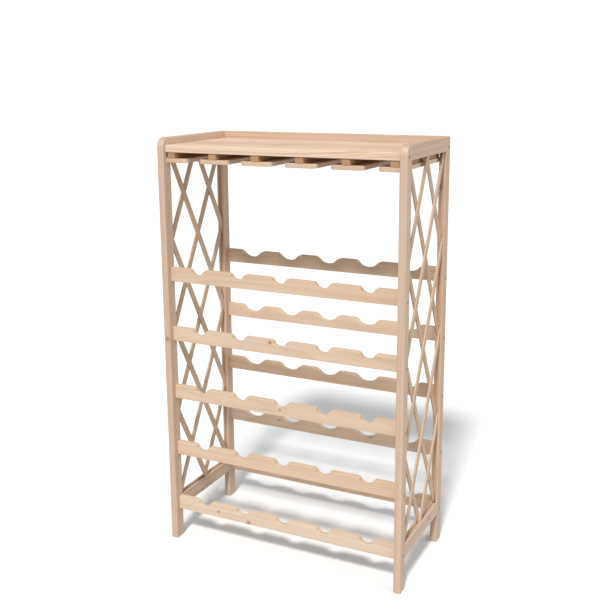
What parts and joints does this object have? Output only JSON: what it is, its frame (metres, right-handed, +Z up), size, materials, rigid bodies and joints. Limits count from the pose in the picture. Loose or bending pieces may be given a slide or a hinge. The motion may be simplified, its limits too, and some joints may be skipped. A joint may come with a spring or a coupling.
{
  "type": "wine rack",
  "caption": "Free-standing fir wine rack with notched bottle rails, slatted side frames, a boarded top with a raised rim, and stem rails for hanging glasses.",
  "frame": {"origin": "on the floor under the middle of the rack, the centre of the bounding box's bottom face", "axes": "+Z up, the front with the neck notches faces -Y, +X to the right seen from the front"},
  "size_m": [0.512, 0.242, 0.84],
  "materials": {
    "fir_post": "planed unfinished fir, eased edges",
    "fir_side_rail": "planed unfinished fir",
    "fir_bottle_rail": "planed unfinished fir, sanded notches",
    "fir_shelf": "planed unfinished fir boards",
    "fir_stem_rail": "planed unfinished fir",
    "fir_slat": "thin sawn fir slats",
    "zinc_screw": "dull zinc plating",
    "beech_dowel": "fluted beech, glued"
  },
  "bodies": {
    "root": {"post_front_left": "fir_post", "post_front_right": "fir_post", "post_rear_left": "fir_post", "post_rear_right": "fir_post", "side_top_rail_left": "fir_side_rail", "side_bottom_rail_left": "fir_side_rail", "side_top_rail_right": "fir_side_rail", "side_bottom_rail_right": "fir_side_rail", "front_rail_1": "fir_bottle_rail", "front_rail_2": "fir_bottle_rail", "front_rail_3": "fir_bottle_rail", "front_rail_4": "fir_bottle_rail", "front_rail_5": "fir_bottle_rail", "rear_rail_1": "fir_bottle_rail", "rear_rail_2": "fir_bottle_rail", "rear_rail_3": "fir_bottle_rail", "rear_rail_4": "fir_bottle_rail", "rear_rail_5": "fir_bottle_rail", "back_top_rail": "fir_side_rail", "shelf_board_1": "fir_shelf", "shelf_board_2": "fir_shelf", "shelf_board_3": "fir_shelf", "shelf_board_4": "fir_shelf", "stem_rail_web_1": "fir_stem_rail", "stem_rail_web_2": "fir_stem_rail", "stem_rail_web_3": "fir_stem_rail", "stem_rail_web_4": "fir_stem_rail", "stem_rail_web_5": "fir_stem_rail", "stem_rail_web_6": "fir_stem_rail", "stem_rail_flange_1": "fir_stem_rail", "stem_rail_flange_2": "fir_stem_rail", "stem_rail_flange_3": "fir_stem_rail", "stem_rail_flange_4": "fir_stem_rail", "stem_rail_flange_5": "fir_stem_rail", "stem_rail_flange_6": "fir_stem_rail", "slat_left_inner_1": "fir_slat", "slat_left_inner_2": "fir_slat", "slat_left_inner_3": "fir_slat", "slat_left_inner_4": "fir_slat", "slat_left_inner_5": "fir_slat", "slat_left_outer_1": "fir_slat", "slat_left_outer_2": "fir_slat", "slat_left_outer_3": "fir_slat", "slat_left_outer_4": "fir_slat", "slat_left_outer_5": "fir_slat", "slat_right_inner_1": "fir_slat", "slat_right_inner_2": "fir_slat", "slat_right_inner_3": "fir_slat", "slat_right_inner_4": "fir_slat", "slat_right_inner_5": "fir_slat", "slat_right_outer_1": "fir_slat", "slat_right_outer_2": "fir_slat", "slat_right_outer_3": "fir_slat", "slat_right_outer_4": "fir_slat", "slat_right_outer_5": "fir_slat", "rail_screws_left": "zinc_screw", "rail_screws_right": "zinc_screw", "stem_rail_screws": "zinc_screw", "side_frame_dowels": "beech_dowel"}
  },
  "joints": []
}
